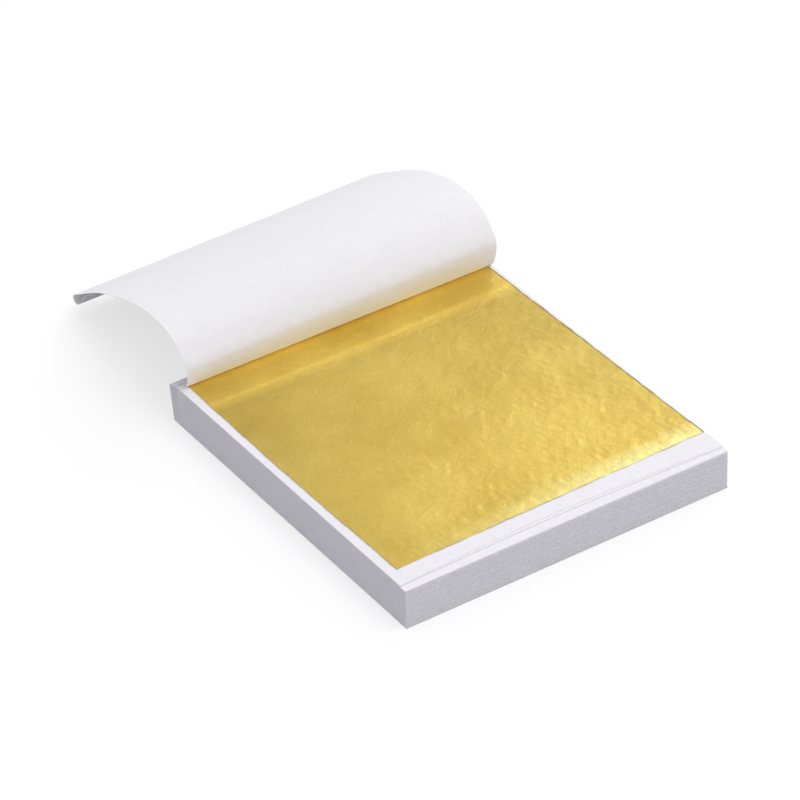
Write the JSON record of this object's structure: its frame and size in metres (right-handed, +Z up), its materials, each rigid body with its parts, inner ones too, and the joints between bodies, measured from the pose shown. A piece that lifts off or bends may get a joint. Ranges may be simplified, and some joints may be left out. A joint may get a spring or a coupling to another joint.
{
  "type": "gold leaf booklet",
  "caption": "Padded booklet of gilding leaf between tissue pages, its top page turned back over the bound edge to show the first leaf.",
  "frame": {"origin": "centre of the underside of the backing sheet", "axes": "+X across the booklet, +Y from the open front edge to the bound back edge, +Z up through the pages"},
  "size_m": [0.0865, 0.1423, 0.025],
  "materials": {
    "tissue": "matte",
    "gold_leaf": "beaten leaf, softly creased",
    "backing_paper": "matte",
    "strip_paper": "matte",
    "glue": "matte"
  },
  "bodies": {
    "pad": {"backing_sheet": "backing_paper", "binding_strip": "strip_paper", "spine_glue": "glue", "turned_page_margin": "tissue", "page_002": "tissue", "leaf_002": "gold_leaf", "page_003": "tissue", "leaf_003": "gold_leaf", "page_004": "tissue", "leaf_004": "gold_leaf", "page_005": "tissue", "leaf_005": "gold_leaf", "page_006": "tissue", "leaf_006": "gold_leaf", "page_007": "tissue", "leaf_007": "gold_leaf", "page_008": "tissue", "leaf_008": "gold_leaf", "page_009": "tissue", "leaf_009": "gold_leaf", "pages_010_to_032": "tissue", "leaves_010_to_032": "gold_leaf", "pages_033_to_055": "tissue", "leaves_033_to_055": "gold_leaf", "pages_056_to_078": "tissue", "leaves_056_to_078": "gold_leaf", "pages_079_to_101": "tissue", "leaves_079_to_100": "gold_leaf"},
    "page_strip_1": {"turned_page_strip_1": "tissue"},
    "page_strip_2": {"turned_page_strip_2": "tissue"},
    "page_strip_3": {"turned_page_strip_3": "tissue"},
    "page_strip_4": {"turned_page_strip_4": "tissue"},
    "page_strip_5": {"turned_page_strip_5": "tissue"},
    "page_strip_6": {"turned_page_strip_6": "tissue"},
    "page_end": {"turned_page_end": "tissue"},
    "first_leaf": {"exposed_leaf": "gold_leaf"}
  },
  "joints": [
    {"name": "page_turn", "type": "hinge", "parent": "pad", "child": "page_strip_1", "pos_m": [0.00063, 0.0421, 0.01027], "axis": [1, 0, 0], "range_deg": [-1, 69.5]},
    {"name": "page_fold_1", "type": "hinge", "parent": "page_strip_1", "child": "page_strip_2", "pos_m": [0.00063, 0.04066, 0.01412], "axis": [0.9997, -0.008, 0.0213], "range_deg": [0, 24.6]},
    {"name": "page_fold_2", "type": "hinge", "parent": "page_strip_2", "child": "page_strip_3", "pos_m": [0.00063, 0.04092, 0.01777], "axis": [0.9996, -0.0074, 0.0287], "range_deg": [0, 47.5]},
    {"name": "page_fold_3", "type": "hinge", "parent": "page_strip_3", "child": "page_strip_4", "pos_m": [0.00078, 0.04715, 0.02271], "axis": [0.9993, 0.0048, 0.0384], "range_deg": [0, 33.8]},
    {"name": "page_fold_4", "type": "hinge", "parent": "page_strip_4", "child": "page_strip_5", "pos_m": [0.00109, 0.05549, 0.02339], "axis": [0.9993, -0.0055, 0.0375], "range_deg": [0, 16.7]},
    {"name": "page_fold_5", "type": "hinge", "parent": "page_strip_5", "child": "page_strip_6", "pos_m": [0.00161, 0.0658, 0.02119], "axis": [0.9987, -0.0287, 0.0425], "range_deg": [0, 11]},
    {"name": "page_fold_6", "type": "hinge", "parent": "page_strip_6", "child": "page_end", "pos_m": [0.0024, 0.07906, 0.01556], "axis": [0.997, -0.0549, 0.0536], "range_deg": [0, 8.7]},
    {"name": "leaf_slide", "type": "slide", "parent": "pad", "child": "first_leaf", "axis": [0, -1, 0], "range_m": [0, 0.09]}
  ]
}
